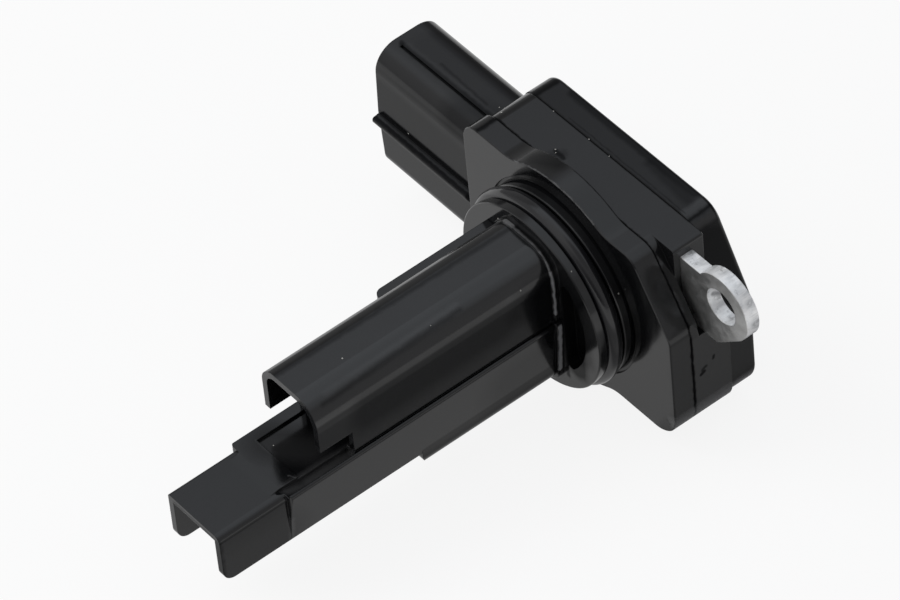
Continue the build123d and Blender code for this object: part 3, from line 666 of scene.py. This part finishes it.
def seal_ring(material):
    """Round rubber ring, a little flattened where it sits in its groove."""
    bm = bmesh.new()
    around, across = SEAL_STEPS
    rings = []
    for i in range(around):
        turn = 2 * math.pi * i / around
        ring = []
        for j in range(across):
            side = 2 * math.pi * j / across
            radius = SEAL_RING_RADIUS + SEAL_SECTION[0] * math.cos(side)
            ring.append(bm.verts.new((
                radius * math.sin(turn),
                SEAL_CENTRE_Y + SEAL_SECTION[1] * math.sin(side),
                radius * math.cos(turn),
            )))
        rings.append(ring)
    for i in range(around):
        here, there = rings[i], rings[(i + 1) % around]
        for j in range(across):
            k = (j + 1) % across
            bm.faces.new((here[j], here[k], there[k], there[j]))
    piece = add_piece("sealing_ring", bm, material)
    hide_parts("o_ring")


def specks(material):
    """Pale grains of dust that lie on the surface: flat uneven flakes."""
    draw = random.Random(SPECK_SEED)
    bm = bmesh.new()
    for place, facing, size in SPECKS:
        flake = bmesh.ops.create_icosphere(bm, subdivisions=1, radius=size)["verts"]
        for vert in flake:
            vert.co *= draw.uniform(*SPECK_UNEVEN)
            vert.co.z *= SPECK_FLATNESS
        turn = Vector(facing).normalized().to_track_quat("Z", "Y").to_matrix().to_4x4()
        bmesh.ops.transform(bm, matrix=Matrix.Translation(place) @ turn, verts=flake)
    add_piece("dust_specks", bm, material, smooth=False)


def add_details():
    seal_ring(rubber("seal_ring_rubber"))
    specks(speckled("dust", *SPECK_LOOK))


# Floor, room and light

FLOOR_Z = -0.0143
FLOOR_HALF = 3.0
FLOOR_CORNERS = ((-1, -1), (1, -1), (1, 1), (-1, 1))
PAPER_TONES = ((0.78, 0.78, 0.78), (0.8, 0.8, 0.8))
PAPER_TONE_SCALE = 8
PAPER_ROUGHNESS = 0.9
# How much of the paper's own shading the camera sees, and how much of its plain tone
# reflections show
SHADOW_SHARE = 0.12
MIRRORED_SHARE = 0.85
# Tone of the floor in reflections, with the object's shadow painted on it as a dark band, from
# the left of the probe to the right, X in metres
FLOOR_SHADOW_TONES = [
    (-0.075, 1.0),
    (-0.055, 0.66),
    (-0.02, 0.66),
    (0.002, 0.6),
    (0.0125, 0.54),
    (0.0155, 0.2),
    (0.0205, 0.17),
    (0.0225, 0.34),
    (0.043, 0.4),
    (0.06, 1.0),
]
# Behind the sensor the paper is bright again: Y in metres where that starts and where it
# is full, and the tone
FLOOR_BEHIND_Y = (0.018, 0.045)
FLOOR_BEHIND_TONE = (1.0, 1.0, 1.0)
# Room round the object: azimuth and elevation of each soft patch, the angles where it starts
# and where it is full, in degrees, and its tone
ROOM_TONE = (0.5, 0.5, 0.51)
ROOM_PATCHES = [
    (-125, 47, 30, 12, (0.63, 0.65, 0.7)),
    (19, 84, 54, 43, (0.92, 0.97, 1.03)),
    (6, 39, 65, 18, (0.79, 0.79, 0.8)),
    (-96, 22, 36, 26, (0.35, 0.35, 0.35)),
    (34, -1, 50, 17, (0.09, 0.09, 0.09)),
    (-178, 14, 56, 28, (0.11, 0.11, 0.11)),
    (78, 51, 38, 21, (0.41, 0.41, 0.42)),
]
# Lamp, in metres and watts
KEY_PLACE = (-0.3, -0.25, 0.45)
KEY_SIDE = 0.35
KEY_POWER = 1.5


def floor_share(tree):
    """How much of the floor is plain: nearly all to the camera and in reflections."""
    rays = add(tree, "ShaderNodeLightPath")
    seen = mapped(tree, rays.outputs["Is Camera Ray"], 0, 1 - SHADOW_SHARE)
    mirrored = mapped(tree, rays.outputs["Is Glossy Ray"], 0, MIRRORED_SHARE)
    return maths(tree, "MAXIMUM", seen, mirrored)


def floor_tone(tree, coords):
    """White to the camera; in reflections, the floor with a painted shadow of the object on it.
    """
    split = add(tree, "ShaderNodeSeparateXYZ")
    tree.links.new(coords, split.inputs[0])
    low, high = FLOOR_SHADOW_TONES[0][0], FLOOR_SHADOW_TONES[-1][0]
    across = mapped(tree, split.outputs["X"], 0, 1, low, high)
    stops = [((x - low) / (high - low), (tone, tone, tone)) for x, tone in FLOOR_SHADOW_TONES]
    behind = mapped(tree, split.outputs["Y"], 0, 1, *FLOOR_BEHIND_Y)
    tones = blend(tree, behind, ramp(tree, across, stops), FLOOR_BEHIND_TONE)
    seen = add(tree, "ShaderNodeLightPath").outputs["Is Camera Ray"]
    return blend(tree, seen, tones, (1, 1, 1))


def floor_material():
    material, tree, shader = new_material("floor_paper")
    coords = object_coords(tree)
    tone = toned(tree, noise(tree, coords, PAPER_TONE_SCALE, detail=3), PAPER_TONES)
    tree.links.new(tone, shader.inputs["Base Color"])
    shader.inputs["Roughness"].default_value = PAPER_ROUGHNESS
    glow = add(tree, "ShaderNodeEmission")
    glow.inputs["Strength"].default_value = 1.0
    tree.links.new(floor_tone(tree, coords), glow.inputs["Color"])
    mix = add(tree, "ShaderNodeMixShader")
    tree.links.new(floor_share(tree), mix.inputs["Fac"])
    tree.links.new(shader.outputs[0], mix.inputs[1])
    tree.links.new(glow.outputs[0], mix.inputs[2])
    tree.links.new(mix.outputs[0], tree.nodes["Material Output"].inputs["Surface"])
    return material


def add_floor():
    mesh = bpy.data.meshes.new("floor")
    corners = [(x * FLOOR_HALF, y * FLOOR_HALF, FLOOR_Z) for x, y in FLOOR_CORNERS]
    mesh.from_pydata(corners, [], [(0, 1, 2, 3)])
    floor = bpy.data.objects.new("floor", mesh)
    bpy.context.scene.collection.objects.link(floor)
    mesh.materials.append(floor_material())


def room_tone(tree, direction):
    """Tone of the room in each direction: its ground tone with the soft patches laid over."""
    ground = add(tree, "ShaderNodeRGB")
    ground.outputs[0].default_value = (*ROOM_TONE, 1)
    tone = ground.outputs[0]
    for azimuth, elevation, outer, inner, colour in ROOM_PATCHES:
        patch = heading(azimuth, elevation)
        facing = vector_maths(tree, "DOT_PRODUCT", direction, patch).outputs["Value"]
        angle = add(tree, "ShaderNodeMath", operation="ARCCOSINE")
        tree.links.new(facing, angle.inputs[0])
        limits = math.radians(outer), math.radians(inner)
        tone = blend(tree, mapped(tree, angle.outputs[0], 0, 1, *limits), tone, colour)
    return tone


def add_world():
    """White to the camera; to the object, a room with bright and dark patches."""
    world = bpy.data.worlds.new("studio")
    world.use_nodes = True
    tree = world.node_tree
    room = tree.nodes["Background"]
    direction = add(tree, "ShaderNodeTexCoord").outputs["Generated"]
    tree.links.new(room_tone(tree, direction), room.inputs["Color"])
    room.inputs["Strength"].default_value = 1.0
    white = add(tree, "ShaderNodeBackground")
    white.inputs["Color"].default_value = (1, 1, 1, 1)
    white.inputs["Strength"].default_value = 1.0
    mix = add(tree, "ShaderNodeMixShader")
    tree.links.new(add(tree, "ShaderNodeLightPath").outputs["Is Camera Ray"], mix.inputs["Fac"])
    tree.links.new(room.outputs[0], mix.inputs[1])
    tree.links.new(white.outputs[0], mix.inputs[2])
    tree.links.new(mix.outputs[0], tree.nodes["World Output"].inputs["Surface"])
    bpy.context.scene.world = world


def add_lamp():
    """A soft lamp at the upper left, turned to the object and hidden from reflections."""
    data = bpy.data.lights.new("key", "AREA")
    data.shape = "SQUARE"
    data.size = KEY_SIDE
    data.energy = KEY_POWER
    lamp = bpy.data.objects.new("key", data)
    lamp.location = KEY_PLACE
    lamp.visible_glossy = False
    lamp.rotation_euler = (-Vector(KEY_PLACE)).to_track_quat("-Z", "Y").to_euler()
    bpy.context.scene.collection.objects.link(lamp)


bpy.context.scene.view_settings.view_transform = "Standard"
add_camera()
dress_nodes()
add_details()
add_floor()
add_world()
add_lamp()
